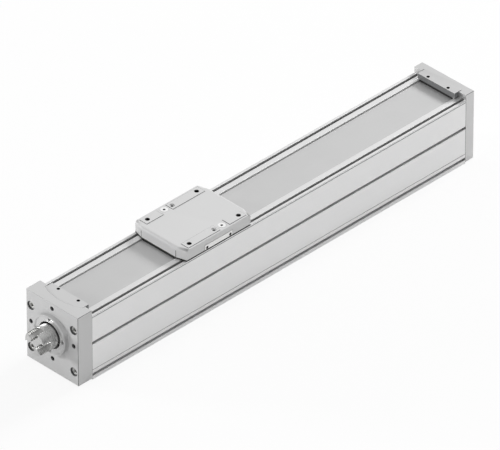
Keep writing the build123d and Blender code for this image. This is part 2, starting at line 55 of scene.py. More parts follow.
MM = 0.001
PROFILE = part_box("profile")
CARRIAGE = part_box("carriage_body")
CARRIAGE_X = (CARRIAGE[0].x + CARRIAGE[1].x) / 2
COVER_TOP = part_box("drive_cover")[1].z
SHAFT_Z = (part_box("coupling_hub")[0].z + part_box("coupling_hub")[1].z) / 2

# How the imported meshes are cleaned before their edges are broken
MERGE_DISTANCE = 2e-6
CUT_DISTANCE = 1e-7
FLAT_DEGREES = 0.6
CORNER_DEGREES = 50
SHARP_DEGREES = 46
SCREW_SHARP_DEGREES = 25


def linear(hex_colour):
    """Scene colour of an sRGB hex value."""
    parts = [int(hex_colour[i : i + 2], 16) / 255 for i in (1, 3, 5)]
    return [c / 12.92 if c <= 0.04045 else ((c + 0.055) / 1.055) ** 2.4 for c in parts]


def add_node(tree, kind, inputs=None, **settings):
    """Adds a node, sets its settings, and fills or links its inputs."""
    made = tree.nodes.new(kind)
    for name, value in settings.items():
        setattr(made, name, value)
    for socket, value in (inputs or {}).items():
        if isinstance(value, bpy.types.NodeSocket):
            tree.links.new(value, made.inputs[socket])
        else:
            made.inputs[socket].default_value = value
    return made


# Sizes and colours


class AXIS_PG_finish(bpy.types.PropertyGroup):
    """Colours of the surfaces."""

    def colour(label, words, hex_colour):
        return bpy.props.FloatVectorProperty(
            name=label, description=words, subtype="COLOR", size=3, min=0, max=1, default=linear(hex_colour)
        )

    extrusion: colour("Profile", "Clear anodised extrusion", "#F1F1F1")
    cover: colour("Covers", "Matt grey coating of the drive cover", "#D3D3D3")
    end_cover: colour("Far cover", "Clear anodised plate of the far cover", "#DADADA")
    carriage: colour("Carriage", "Clear anodised carriage", "#D9D9D9")
    band: colour("Band", "Rolled stainless cover band", "#D6D6D6")
    hub: colour("Coupling half", "Turned aluminium hub", "#D2D2D1")
    ring: colour("Ring nut", "Turned steel ring nut", "#E6E5E4")
    zinc: colour("Cover screws", "Zinc plated cap screws", "#D0D0CE")
    black: colour("Small screws", "Blackened screws", "#0C0C0C")
    steel: colour("Guide steel", "Ground rail, blocks, bearings and nut", "#B9B9B8")


class AXIS_PG_sizes(bpy.types.PropertyGroup):
    """Sizes that the frame doesn't give, and those of the pieces made here."""

    def length(label, words, millimetres):
        return bpy.props.FloatProperty(
            name=label, description=words, unit="LENGTH", min=0, precision=5, default=millimetres * MM
        )

    slot_inset: length("Top slot", "Distance of the top slots from the profile's sides", 3.8)
    opening: length("Opening", "Half the width of the profile's opening", 19.65)
    load_x: length("Load holes along X", "Spacing of the load holes", 56.6)
    load_y: length("Load holes along Y", "Spacing of the load holes", 48.5)
    load_radius: length("Load hole", "Radius of the load holes", 2.1)
    centre_radius: length("Centre bore", "Radius of the two centre bores", 1.2)
    flange_ring: length("Flange ring", "Radius of the ring of holes round the shaft", 24.8)
    flange_radius: length("Flange hole", "Radius of the holes round the shaft", 2.1)
    bore_radius: length("Counterbore", "Radius of the counterbores of the cover screws", 4.1)
    head_radius: length("Screw head", "Radius of the cover screws' heads", 3.5)
    head_height: length("Head height", "Height of the cover screws' heads", 4.0)
    shank_radius: length("Screw shank", "Radius of the cover screws' shanks", 1.98)
    socket: length("Socket", "Half the width of the hexagon sockets", 1.5)
    clamp_spacing: length("Clamp holes", "Spacing of the clamp holes in each cover", 23.2)
    clamp_radius: length("Clamp hole", "Radius of the clamp holes", 1.5)
    tongue_half: length("Tongue", "Half the width of the covers' tongues", 21.3)
    tongue_reach: length("Tongue reach", "How far the tongues reach over the band", 5.0)
    cover_length: length("Drive cover", "Length of the drive cover's plate", 16.0)
    face_half: length("Carriage face", "Half the width of the carriage's end faces", 20.0)
    side_half: length("Carriage side", "Half the length of the carriage's sides", 36.65)
    slide_gap: length("Slide gap", "Height of the carriage above the profile", 0.5)
    # painted shade: the carriage's faces up to this height take the black of rubber
    shade_foot_height: length("Shade foot height", "How far the carriage's black foot reaches above the profile", 1.3)
    nipple_radius: length("Nipple", "Radius of the lubrication caps", 3.3)
    edge: length("Edge", "Broken edge of milled pieces", 0.25)
    carriage_edge: length("Carriage edge", "Broken edge of the carriage, half that of its pads", 0.145)
    small_edge: length("Small edge", "Broken edge of small pieces", 0.12)
    pitch: length("Screw pitch", "Travel of the carriage for one turn", 12.0)
    groove: length("Groove depth", "Depth of the ball groove", 1.0)
    knurl: length("Knurl depth", "Depth of the grooves round a screw head", 0.12)
    wire: length("Thread wire", "Thickness of the wire thread inserts", 0.6)


class AXIS_PG_stage(bpy.types.PropertyGroup):
    """Light and camera."""

    lens: bpy.props.FloatProperty(
        name="Lens", description="Focal length of the camera", unit="CAMERA", default=772.46
    )
    azimuth: bpy.props.FloatProperty(
        name="Azimuth", description="Turn of the camera round the axis", subtype="ANGLE",
        default=math.radians(-45.0),
    )
    elevation: bpy.props.FloatProperty(
        name="Elevation", description="Height of the camera above the horizon", subtype="ANGLE",
        default=math.radians(35.15),
    )
    distance: bpy.props.FloatProperty(
        name="Distance", description="Camera to the aim point", unit="LENGTH", default=8.8309
    )
    horizon: bpy.props.FloatProperty(
        name="Horizon", description="Strength of the sky at its foot", default=0.18
    )
    zenith: bpy.props.FloatProperty(
        name="Zenith", description="Strength of the sky overhead", default=0.77
    )
    key: bpy.props.FloatProperty(
        name="Key", description="Power of the main lamp", unit="POWER", default=122.0
    )
    fill: bpy.props.FloatProperty(
        name="Fill", description="Power of the second lamp", unit="POWER", default=64.0
    )


# Finishes


def surface(name, colour, metallic, roughness, grain, drift, rough_drift, bump):
    """Material whose grain is noise of a real size, in millimetres along X, Y and Z.

    drift and rough_drift are how far colour and roughness swing about their values,
    and bump is the height of the grain in millimetres.
    """
    clouds_per_metre, cloud_share = 33.0, 0.3
    material = bpy.data.materials.new(name)
    material.use_nodes = True
    tree = material.node_tree
    shader = tree.nodes["Principled BSDF"]
    shader.inputs["Metallic"].default_value = metallic
    place = add_node(tree, "ShaderNodeTexCoord").outputs["Object"]
    fine_place = add_node(
        tree, "ShaderNodeMapping",
        {"Vector": place, "Scale": [1 / (size * MM) for size in grain]},
    )
    fine = add_node(
        tree, "ShaderNodeTexNoise", {"Vector": fine_place.outputs[0], "Scale": 1.0, "Detail": 3.0}
    )
    # handling and storage leave wide, very faint clouds about 30 mm across
    cloud = add_node(
        tree, "ShaderNodeTexNoise", {"Vector": place, "Scale": clouds_per_metre, "Detail": 2.0}
    )
    blend = add_node(
        tree, "ShaderNodeMix", {"Factor": cloud_share, 2: fine.outputs["Fac"], 3: cloud.outputs["Fac"]}
    )
    tint = add_node(
        tree, "ShaderNodeMix",
        {
            "Factor": blend.outputs[0],
            6: (*[max(0, c * (1 - drift)) for c in colour], 1),
            7: (*[min(1, c * (1 + drift)) for c in colour], 1),
        },
        data_type="RGBA",
    )
    dull = add_node(
        tree, "ShaderNodeMapRange",
        {"Value": blend.outputs[0], "To Min": roughness - rough_drift, "To Max": roughness + rough_drift},
    )
    relief = add_node(
        tree, "ShaderNodeBump", {"Height": fine.outputs["Fac"], "Strength": 1.0, "Distance": bump * MM}
    )
    tree.links.new(tint.outputs[2], shader.inputs["Base Color"])
    tree.links.new(dull.outputs[0], shader.inputs["Roughness"])
    tree.links.new(relief.outputs[0], shader.inputs["Normal"])
    return material


def finishes():
    """Every finish of the axis, made once."""
    if "extruded_aluminium" in bpy.data.materials:
        return
    look = bpy.context.scene.axis_finish
    # Extruded aluminium, etched and clear anodised: a matt metal with fine die lines along X
    surface("extruded_aluminium", look.extrusion, 1.0, 0.55, (90, 0.35, 0.35), 0.035, 0.05, 0.004)
    # Cast covers, blasted and coated: an even grey with a fine pebble of about 0.4 mm
    surface("coated_cover", look.cover, 0.15, 0.5, (0.4, 0.4, 0.4), 0.03, 0.06, 0.005)
    # The far cover is milled from plate and clear anodised: metal with cutter marks of 0.4 mm
    surface("milled_aluminium", look.end_cover, 1.0, 0.55, (0.4, 0.4, 0.4), 0.035, 0.05, 0.004)
    # Painted shade: the walls and floors inside the slots and grooves take a darker grey
    surface("slot_wall", linear("#B4B4B4"), 0.0, 0.6, (90, 0.35, 0.35), 0.06, 0.05, 0.004)
    # Extruded sealing lips: smooth light grey
    surface("sealing_lip", linear("#B0B0B0"), 0.0, 0.5, (60, 0.3, 0.3), 0.04, 0.05, 0.002)
    # Near black: painted shade on the walls of bores and holes, on the pads' outlines and in the nipples'
    # centres; the side plates' screws take it as their own black finish
    surface("oiled_bore", linear("#2A2B2C"), 0.0, 0.5, (0.3, 0.3, 0.3), 0.1, 0.05, 0.004)
    # Painted shade: the tongues' front and side faces take a mid grey
    surface("tongue_face", linear("#7A7B7C"), 0.0, 0.55, (0.3, 0.3, 0.3), 0.06, 0.05, 0.004)
    # Painted shade, dark grey: the arc's rim, the flange holes and the counterbores
    surface("milled_rim", linear("#6E6F70"), 0.0, 0.55, (0.3, 0.3, 0.3), 0.06, 0.05, 0.004)
    # Painted shade: the broken corners round the covers' two side faces take a near black
    surface("machined_edge", linear("#3A3B3C"), 0.0, 0.6, (0.3, 0.3, 0.3), 0.1, 0.05, 0.004)
    # Milled, blasted and anodised carriage: matt with a grain near 0.3 mm
    surface("anodised_carriage", look.carriage, 0.0, 0.46, (0.35, 0.35, 0.35), 0.025, 0.05, 0.006)
    # Cold rolled stainless strip: long rolling lines along X
    surface("rolled_stainless", look.band, 1.0, 0.6, (60, 0.25, 0.25), 0.04, 0.06, 0.002)
    # Turned aluminium: tool marks 0.3 mm apart run round the axis
    surface("turned_aluminium", look.hub, 1.0, 0.28, (0.3, 8, 8), 0.05, 0.06, 0.004)
    # Turned steel nut, bright with marks round the axis
    surface("turned_steel", look.ring, 1.0, 0.3, (0.3, 6, 6), 0.04, 0.06, 0.004)
    # Zinc plated screws: bright, slightly cloudy
    surface("zinc_plate", look.zinc, 1.0, 0.28, (0.5, 0.5, 0.5), 0.06, 0.08, 0.004)
    # Blackened steel screws: nearly black, waxy
    surface("blackened_steel", look.black, 0.0, 0.7, (0.4, 0.4, 0.4), 0.15, 0.08, 0.004)
    # Ground and hardened guide steel: fine grinding lines along X
    surface("ground_steel", look.steel, 1.0, 0.3, (25, 0.2, 0.2), 0.05, 0.06, 0.002)
    # Rolled ball screw: smooth steel
    surface("rolled_screw_steel", look.steel, 1.0, 0.22, (3, 1, 1), 0.05, 0.05, 0.002)
    # Moulded polyamide: matt dark green-black with a fine spark texture of 0.3 mm
    surface("moulded_polyamide", linear("#1C2B24"), 0.0, 0.5, (0.3, 0.3, 0.3), 0.1, 0.05, 0.01)
    # Moulded polyurethane and rubber: dull black; the same black is painted shade on the carriage's foot and
    # in the strips under the carriage and the tongues
    surface("moulded_rubber", linear("#151515"), 0.0, 0.7, (0.5, 0.5, 0.5), 0.12, 0.05, 0.01)
    # Small plates, nickel plated: an even satin metal
    surface("nickel_plate", linear("#F0F0EF"), 1.0, 0.42, (0.4, 0.4, 0.4), 0.03, 0.05, 0.002)
    # Moulded caps of the lubrication points: smooth white acetal
    surface("white_acetal", linear("#F6F6F6"), 0.0, 0.4, (0.5, 0.5, 0.5), 0.02, 0.05, 0.002)


# Mesh helpers


def new_piece(name, mesh, body, material, replaced=()):
    """Object at the origin that rides on a body and stands for the given nodes."""
    mesh.name = name
    piece = bpy.data.objects.new(name, mesh)
    bpy.context.scene.collection.objects.link(piece)
    if material:
        piece.data.materials.clear()
        piece.data.materials.append(bpy.data.materials[material])
    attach(piece, body)
    if replaced:
        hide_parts(*replaced)
    return piece


def evaluated_mesh(piece):
    """Plain mesh of a piece with its modifiers, which are then removed."""
    graph = bpy.context.evaluated_depsgraph_get()
    mesh = bpy.data.meshes.new_from_object(piece.evaluated_get(graph), depsgraph=graph)
    piece.modifiers.clear()
    return mesh


def shade(mesh, degrees):
    """Smooth shading, with edges sharper than the angle kept sharp."""
    mesh.polygons.foreach_set("use_smooth", [True] * len(mesh.polygons))
    mesh.set_sharp_from_angle(angle=math.radians(degrees))


def run_modifier(mesh, kind, **settings):
    """Mesh after one modifier."""
    carrier = bpy.data.objects.new("carrier", mesh)
    bpy.context.scene.collection.objects.link(carrier)
    modifier = carrier.modifiers.new("step", kind)
    for name, value in settings.items():
        setattr(modifier, name, value)
    made = evaluated_mesh(carrier)
    bpy.data.objects.remove(carrier)
    return made


def finish_node(node, body, material, edge, shortest=1.5 * MM, accents=(), above=None, cut=None):
    """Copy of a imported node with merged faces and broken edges, which stands for it.

    Outer corners sharper than CORNER_DEGREES and longer than the shortest length are broken,
    those above a given height twice as wide. Faces are divided at the height of a cut.
    Accents are pairs of a material and a test; a face whose centre and normal pass takes it.
    """
    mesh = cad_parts[node].data.copy()
    mesh.materials.clear()
    for name in [material] + [name for name, test in accents]:
        mesh.materials.append(bpy.data.materials[name])
    work = bmesh.new()
    work.from_mesh(mesh)
    bmesh.ops.remove_doubles(work, verts=work.verts, dist=MERGE_DISTANCE)
    bmesh.ops.dissolve_limit(
        work, angle_limit=math.radians(FLAT_DEGREES), verts=work.verts, edges=work.edges
    )
    if cut is not None:
        everything = work.verts[:] + work.edges[:] + work.faces[:]
        bmesh.ops.bisect_plane(
            work, geom=everything, dist=CUT_DISTANCE, plane_co=(0, 0, cut), plane_no=(0, 0, 1)
        )
    weight = work.edges.layers.float.new("bevel_weight_edge")
    for corner in work.edges:
        if len(corner.link_faces) != 2 or corner.calc_length() <= shortest:
            continue
        if corner.calc_face_angle_signed() > math.radians(CORNER_DEGREES):
            wide = above is not None and min(point.co.z for point in corner.verts) > above
            corner[weight] = 1.0 if wide else 0.5
    work.to_mesh(mesh)
    work.free()
    mesh = run_modifier(
        mesh, "BEVEL", width=2 * edge, segments=2, limit_method="WEIGHT", use_clamp_overlap=False
    )
    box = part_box(node)
    for point in mesh.vertices:
        point.co = [min(max(place, low), high) for place, low, high in zip(point.co, *box)]
    shade(mesh, SHARP_DEGREES)
    mesh = run_modifier(mesh, "WEIGHTED_NORMAL", weight=100, keep_sharp=True)
    for face in mesh.polygons:
        for number, (name, test) in enumerate(accents):
            if test(face.center, face.normal):
                face.material_index = number + 1
    return new_piece(node + "_finished", mesh, body, None, [node])


def hole_walls(axis, radius, points):
    """Test for the walls of round holes along an axis through the given points."""
    margin = 0.05 * MM

    def test(centre, normal):
        if abs(normal[axis]) > 0.3:
            return False
        flat = [place for place in range(3) if place != axis]
        return any(
            math.hypot(*(centre[place] - point[place] for place in flat)) < radius + margin
            for point in points
        )

    return test


def corners(centre, spread):
    """Points half a spread to both sides of a centre, along every axis that has a spread."""
    points = [Vector(centre)]
    for axis, width in enumerate(spread):
        if width:
            step = Vector([width / 2 if place == axis else 0 for place in range(3)])
            points = [point + side * step for point in points for side in (-1, 1)]
    return points


def add_box(work, low, high):
    """Adds a box between two corners to a mesh in work."""
    size = [b - a for a, b in zip(low, high)]
    middle = Matrix.Translation([(a + b) / 2 for a, b in zip(low, high)])
    bmesh.ops.create_cube(work, size=1, matrix=middle @ Matrix.Diagonal((*size, 1)))


def add_ring(work, outline, inner, low, high):
    """Adds an upright ring between two outlines of the same count of points."""
    loops = [
        [work.verts.new((x, y, z)) for x, y in points]
        for points, z in ((outline, low), (outline, high), (inner, high), (inner, low))
    ]
    count = len(outline)
    for number, loop in enumerate(loops):
        other = loops[(number + 1) % 4]
        for step in range(count):
            following = (step + 1) % count
            work.faces.new((loop[step], loop[following], other[following], other[step]))


def work_mesh(name, work):
    """Mesh from finished work, with its normals outward."""
    bmesh.ops.recalc_face_normals(work, faces=work.faces)
    mesh = bpy.data.meshes.new(name)
    work.to_mesh(mesh)
    work.free()
    return mesh


def run_tree(name, tree, values, body, replaced=()):
    """Runs a geometry tree on an empty mesh and keeps the result as a plain piece."""
    carrier = bpy.data.objects.new(name + "_tree", bpy.data.meshes.new(name + "_tree"))
    bpy.context.scene.collection.objects.link(carrier)
    modifier = carrier.modifiers.new("tree", "NODES")
    modifier.node_group = tree
    for item in tree.interface.items_tree:
        if item.item_type == "SOCKET" and item.in_out == "INPUT" and item.name in values:
            modifier[item.identifier] = values[item.name]
    mesh = evaluated_mesh(carrier)
    bpy.data.objects.remove(carrier)
    return new_piece(name, mesh, body, None, replaced)


def new_tree(name, inputs):
    """Geometry tree with named inputs, given as (name, kind, default)."""
    tree = bpy.data.node_groups.new(name, "GeometryNodeTree")
    tree.interface.new_socket("Geometry", in_out="OUTPUT", socket_type="NodeSocketGeometry")
    for label, kind, default in inputs:
        made = tree.interface.new_socket(label, in_out="INPUT", socket_type=kind)
        if default is not None:
            made.default_value = default
    return tree, add_node(tree, "NodeGroupInput").outputs


def end_tree(tree, geometry, material):
    """Closes a tree with Realize Instances and Set Material."""
    real = add_node(tree, "GeometryNodeRealizeInstances", {0: geometry})
    painted = add_node(
        tree, "GeometryNodeSetMaterial",
        {"Geometry": real.outputs[0], "Material": bpy.data.materials[material]},
    )
    add_node(tree, "NodeGroupOutput", {0: painted.outputs[0]})


# Geometry trees


def thread_tree():
    """Wire thread: a spiral wire at every point of a grid of holes."""
    tree, given = new_tree(
        "wire_thread",
        [
            ("Wall radius", "NodeSocketFloat", 2.1 * MM),
            ("Wire", "NodeSocketFloat", 0.6 * MM),
            ("Pitch", "NodeSocketFloat", 0.8 * MM),
            ("Turns", "NodeSocketFloat", 10.0),
            ("Centre", "NodeSocketVector", (0, 0, 0)),
            ("Rotation", "NodeSocketVector", (0, 0, 0)),
            ("Spread X", "NodeSocketFloat", 0.05),
            ("Spread Y", "NodeSocketFloat", 0.05),
            ("Ring radius", "NodeSocketFloat", 0.0),
        ],
    )
    half = add_node(tree, "ShaderNodeMath", {0: given["Wire"], 1: 0.5}, operation="MULTIPLY")
    radius = add_node(
        tree, "ShaderNodeMath", {0: given["Wall radius"], 1: half.outputs[0]}, operation="SUBTRACT"
    )
    depth = add_node(tree, "ShaderNodeMath", {0: given["Pitch"], 1: given["Turns"]}, operation="MULTIPLY")
    spiral = add_node(
        tree, "GeometryNodeCurveSpiral",
        {
            "Resolution": 20, "Rotations": given["Turns"], "Start Radius": radius.outputs[0],
            "End Radius": radius.outputs[0], "Height": depth.outputs[0],
        },
    )
    section = add_node(
        tree, "GeometryNodeCurvePrimitiveCircle", {"Resolution": 6, "Radius": half.outputs[0]}
    )
    wire = add_node(
        tree, "GeometryNodeCurveToMesh",
        {"Curve": spiral.outputs[0], "Profile Curve": section.outputs[0], "Fill Caps": True},
    )
    grid = add_node(
        tree, "GeometryNodeMeshGrid",
        {"Size X": given["Spread X"], "Size Y": given["Spread Y"], "Vertices X": 2, "Vertices Y": 2},
    )
    circle = add_node(tree, "GeometryNodeMeshCircle", {"Vertices": 4, "Radius": given["Ring radius"]})
    round_pattern = add_node(
        tree, "ShaderNodeMath", {0: given["Ring radius"], 1: 0.0}, operation="GREATER_THAN"
    )
    points = add_node(
        tree, "GeometryNodeSwitch",
        {"Switch": round_pattern.outputs[0], "False": grid.outputs["Mesh"], "True": circle.outputs[0]},
        input_type="GEOMETRY",
    )
    copies = add_node(
        tree, "GeometryNodeInstanceOnPoints", {"Points": points.outputs[0], "Instance": wire.outputs[0]}
    )
    placed = add_node(
        tree, "GeometryNodeTransform",
        {"Geometry": copies.outputs[0], "Translation": given["Centre"], "Rotation": given["Rotation"]},
    )
    end_tree(tree, placed.outputs[0], "blackened_steel")
    return tree


def ball_screw_tree():
    """Rod with a round helical groove, made from a sheet that is rolled up, and its two ends."""
    half_groove = 0.18
    overlap = 0.2 * MM
    tree, given = new_tree(
        "rolled_ball_screw",
        [
            ("Length", "NodeSocketFloat", 0.43),
            ("Start", "NodeSocketFloat", -0.2),
            ("Radius", "NodeSocketFloat", 6 * MM),
            ("Pitch", "NodeSocketFloat", 12 * MM),
            ("Groove", "NodeSocketFloat", 1 * MM),
            ("Height", "NodeSocketFloat", 0.0389),
            ("Drive end", "NodeSocketFloat", -0.24),
            ("Drive radius", "NodeSocketFloat", 5 * MM),
            ("Far end", "NodeSocketFloat", 0.21),
            ("Far radius", "NodeSocketFloat", 4 * MM),
        ],
    )

    def maths(operation, first, second=0.0, third=0.0):
        return add_node(
            tree, "ShaderNodeMath", {0: first, 1: second, 2: third}, operation=operation
        ).outputs[0]

    sheet = add_node(
        tree, "GeometryNodeMeshGrid", {"Size X": 1.0, "Size Y": 1.0, "Vertices X": 460, "Vertices Y": 33}
    )
    position = add_node(tree, "GeometryNodeInputPosition").outputs[0]
    where = add_node(tree, "ShaderNodeSeparateXYZ", {0: position})
    along = maths("MULTIPLY", maths("ADD", where.outputs[0], 0.5), given["Length"])
    angle = maths("MULTIPLY", where.outputs[1], math.tau)
    turns = maths("SUBTRACT", maths("DIVIDE", along, given["Pitch"]), where.outputs[1])
    phase = maths("ABSOLUTE", maths("SUBTRACT", maths("FRACT", turns), 0.5))
    # the groove takes the middle 0.36 of each pitch and has the round floor of a ball track
    reach = maths("DIVIDE", phase, half_groove)
    floor = maths("SQRT", maths("MAXIMUM", maths("SUBTRACT", 1.0, maths("MULTIPLY", reach, reach)), 0.0))
    radius = maths("SUBTRACT", given["Radius"], maths("MULTIPLY", floor, given["Groove"]))
    x = maths("ADD", along, given["Start"])
    y = maths("MULTIPLY", radius, maths("COSINE", angle))
    z = maths("ADD", maths("MULTIPLY", radius, maths("SINE", angle)), given["Height"])
    target = add_node(tree, "ShaderNodeCombineXYZ", {0: x, 1: y, 2: z})
    rolled = add_node(
        tree, "GeometryNodeSetPosition", {"Geometry": sheet.outputs["Mesh"], "Position": target.outputs[0]}
    )
    closed = add_node(tree, "GeometryNodeMergeByDistance", {"Geometry": rolled.outputs[0], "Distance": 1e-6})
    parts = [closed.outputs[0]]
    stop = maths("ADD", given["Start"], given["Length"])
    for low, high, size in (
        (given["Drive end"], given["Start"], given["Drive radius"]),
        (stop, given["Far end"], given["Far radius"]),
    ):
        length = maths("SUBTRACT", high, low)
        rod = add_node(
            tree, "GeometryNodeMeshCylinder",
            {"Vertices": 40, "Radius": size, "Depth": maths("ADD", length, overlap)},
        )
        middle = add_node(
            tree, "ShaderNodeCombineXYZ",
            {0: maths("MULTIPLY", maths("ADD", low, high), 0.5), 2: given["Height"]},
        )
        laid = add_node(
            tree, "GeometryNodeTransform",
            {
                "Geometry": rod.outputs["Mesh"], "Translation": middle.outputs[0],
                "Rotation": (0, math.pi / 2, 0),
            },
        )
        parts.append(laid.outputs[0])
    joined = add_node(tree, "GeometryNodeJoinGeometry")
    for part in parts:
        tree.links.new(part, joined.inputs[0])
    end_tree(tree, joined.outputs[0], "rolled_screw_steel")
    return tree


def cap_screw_tree():
    """Four cap screws with a knurled head, on the corners of a rectangle in the YZ plane."""
    tree, given = new_tree(
        "cap_screws",
        [
            ("Head", "NodeSocketObject", None),
            ("Centre", "NodeSocketVector", (0, 0, 0)),
            ("Rotation", "NodeSocketVector", (0, 0, 0)),
            ("Spread X", "NodeSocketFloat", 0.05),
            ("Spread Y", "NodeSocketFloat", 0.05),
        ],
    )
    source = add_node(
        tree, "GeometryNodeObjectInfo", {"Object": given["Head"]}, transform_space="ORIGINAL"
    )
    grid = add_node(
        tree, "GeometryNodeMeshGrid",
        {"Size X": given["Spread X"], "Size Y": given["Spread Y"], "Vertices X": 2, "Vertices Y": 2},
    )
    turn = add_node(
        tree, "FunctionNodeRandomValue", {0: (0, 0, 0), 1: (0, 0, 1.05), "Seed": 7}, data_type="FLOAT_VECTOR"
    )
    copies = add_node(
        tree, "GeometryNodeInstanceOnPoints",
        {"Points": grid.outputs["Mesh"], "Instance": source.outputs["Geometry"], "Rotation": turn.outputs[0]},
    )
    placed = add_node(
        tree, "GeometryNodeTransform",
        {"Geometry": copies.outputs[0], "Translation": given["Centre"], "Rotation": given["Rotation"]},
    )
    end_tree(tree, placed.outputs[0], "zinc_plate")
    return tree


def cap_screw_mesh(length, sizes):
    """One cap screw along Z, head underside at the origin, with a knurled head and a hexagon socket."""
    steps = 72
    head, top = sizes.head_radius, sizes.head_height
    shank, socket = sizes.shank_radius, sizes.socket
    # the chamfers at the point and under the head, the knurl, the rounded crown and the socket
    point = 0.4 * MM
    foot_edge = 0.1 * MM
    knurl_start, knurl_stop, knurl_run_out = 0.6 * MM, top - 0.75 * MM, 0.1 * MM
    crown_height, crown_drop, crown_width = 0.25 * MM, 0.1 * MM, 0.4 * MM
    socket_edge = 0.25 * MM
    socket_depth, socket_tip = 2.2 * MM, 2.7 * MM
    work = bmesh.new()

    def ring(radius, height, wave=0.0, hexagon=False):
        made = []
        for step in range(steps):
            angle = math.tau * step / steps
            reach = radius - wave * (step % 2)
            if hexagon:
                local = (angle + math.pi / 6) % (math.pi / 3) - math.pi / 6
                reach = radius / math.cos(local)
            made.append(work.verts.new((reach * math.cos(angle), reach * math.sin(angle), height)))
        return made

    rings = [
        ring(shank * 0.8, -length),
        ring(shank, -length + point),
        ring(shank, 0),
        ring(head - foot_edge, 0),
        ring(head, foot_edge),
        ring(head, knurl_start - knurl_run_out),
        ring(head, knurl_start, sizes.knurl),
        ring(head, knurl_stop, sizes.knurl),
        ring(head, knurl_stop + knurl_run_out),
        ring(head - crown_drop, top - crown_height),
        ring(head - crown_width, top),
        ring(socket + socket_edge, top, hexagon=True),
        ring(socket, top - socket_edge, hexagon=True),
        ring(socket, top - socket_depth, hexagon=True),
        ring(socket * 0.2, top - socket_tip),
    ]
    for low, high in zip(rings, rings[1:]):
        for step in range(steps):
            following = (step + 1) % steps
            work.faces.new((low[step], low[following], high[following], high[step]))
    work.faces.new(list(reversed(rings[0])))
    work.faces.new(rings[-1])
    mesh = work_mesh("cap_screw", work)
    shade(mesh, SCREW_SHARP_DEGREES)
    return mesh


# Operators


class AXIS_OT_profile(bpy.types.Operator):
    """Finish the extruded profile and the cover band"""

    bl_idname = "axis.profile"
    bl_label = "Profile and band"

    def execute(self, context):
        finishes()
        sizes = context.scene.axis_sizes
        side_y, top = PROFILE[1].y, PROFILE[1].z
        slot_half, slot_floor, slot_mouth = 2.75 * MM, top - 5 * MM, top - 0.05 * MM
        groove_deep, floor_limit, wall_limit = side_y - 0.6 * MM, side_y - 0.2 * MM, side_y - 0.02 * MM

        def top_slot(centre, normal):
            inside = abs(abs(centre.y) - side_y + sizes.slot_inset) < slot_half
            return inside and slot_floor < centre.z < slot_mouth and abs(normal.x) < 0.9

        def line_groove(centre, normal):
            return groove_deep < abs(centre.y) < wall_limit and abs(normal.y) < 0.9

        def groove_floor(centre, normal):
            return groove_deep < abs(centre.y) < floor_limit and abs(normal.y) > 0.9

        # the inner faces of the slots and grooves take the painted shade
        accents = (("slot_wall", top_slot), ("slot_wall", line_groove), ("slot_wall", groove_floor))
        finish_node("profile", "frame", "extruded_aluminium", sizes.edge * 0.7, accents=accents)
        finish_node("cover_band", "frame", "rolled_stainless", sizes.small_edge)
        # thin sealing lips on the band's edges and on the walls beside it
        low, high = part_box("cover_band")
        bottom, crest = low.z + 0.02 * MM, high.z - 0.03 * MM
        band_lip = (high.y - 0.1 * MM, high.y + 0.13 * MM)
        wall_lip = (sizes.opening - 0.17 * MM, sizes.opening + 0.1 * MM)
        work = bmesh.new()
        for near, far in (band_lip, wall_lip):
            for side in (-1, 1):
                ys = sorted((side * near, side * far))
                add_box(work, (low.x, ys[0], bottom), (high.x, ys[1], crest))
        new_piece("band_lips", work_mesh("band_lips", work), "frame", "sealing_lip")
        return {"FINISHED"}


class AXIS_OT_covers(bpy.types.Operator):
    """Finish both covers, their clamp bars, grub screws and buffers"""

    bl_idname = "axis.covers"
    bl_label = "Covers"

    def execute(self, context):
        finishes()
        sizes = context.scene.axis_sizes
        half, side_y = PROFILE[1].x, PROFILE[1].y
        tip = half - sizes.tongue_reach
        arc_start = PROFILE[0].x - sizes.cover_length + 2 * MM
        side_limit, rim_limit, tip_margin = side_y - 0.4 * MM, COVER_TOP - 0.6 * MM, 0.1 * MM

        def side_edge(centre, normal):
            return 0.1 < abs(normal.y) < 0.99 and abs(centre.y) > side_limit

        def arc_rim(centre, normal):
            inside = abs(centre.y) < sizes.tongue_half and arc_start < centre.x < -half
            return inside and centre.z > rim_limit and normal.z < 0.99

        # faces of the tongues that take the painted shade
        def tongue(centre, normal):
            front = abs(normal.x) > 0.9 and abs(abs(centre.x) - tip) < tip_margin
            side = abs(normal.y) > 0.9 and tip < abs(centre.x) < half
            return (front or side) and centre.z > PROFILE[1].z

        clamps = corners((0, 0, 0), (2 * half - sizes.tongue_reach, sizes.clamp_spacing, 0))
        ring = [
            Vector((0, sizes.flange_ring * math.cos(turn), SHAFT_Z + sizes.flange_ring * math.sin(turn)))
            for turn in (0, math.pi / 2, math.pi, 3 * math.pi / 2)
        ]
        low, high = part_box("drive_cover_screws")
        spread = [high[axis] - low[axis] - 2 * sizes.head_radius for axis in (1, 2)]
        bores = corners((0, 0, (low.z + high.z) / 2), (0, *spread))
        # painted shade on the side faces' corners, the arc's rim, the tongues and the walls of the clamp
        # holes, flange holes and counterbores
        accents = (
            ("machined_edge", side_edge),
            ("milled_rim", arc_rim),
            ("tongue_face", tongue),
            ("oiled_bore", hole_walls(2, sizes.clamp_radius, clamps)),
            ("milled_rim", hole_walls(0, sizes.flange_radius, ring)),
            ("milled_rim", hole_walls(0, sizes.bore_radius, bores)),
        )
        for node, finish in (("drive_cover", "coated_cover"), ("end_cover", "milled_aluminium")):
            finish_node(node, "frame", finish, sizes.edge, accents=accents)
        for node in ("drive_band_clamp", "end_band_clamp"):
            finish_node(node, "frame", "moulded_polyamide", sizes.small_edge)
        finish_node("band_clamp_screws", "frame", "blackened_steel", sizes.small_edge)
        for node in ("drive_buffer", "end_buffer"):
            finish_node(node, "frame", "moulded_rubber", sizes.edge * 2)
        return {"FINISHED"}


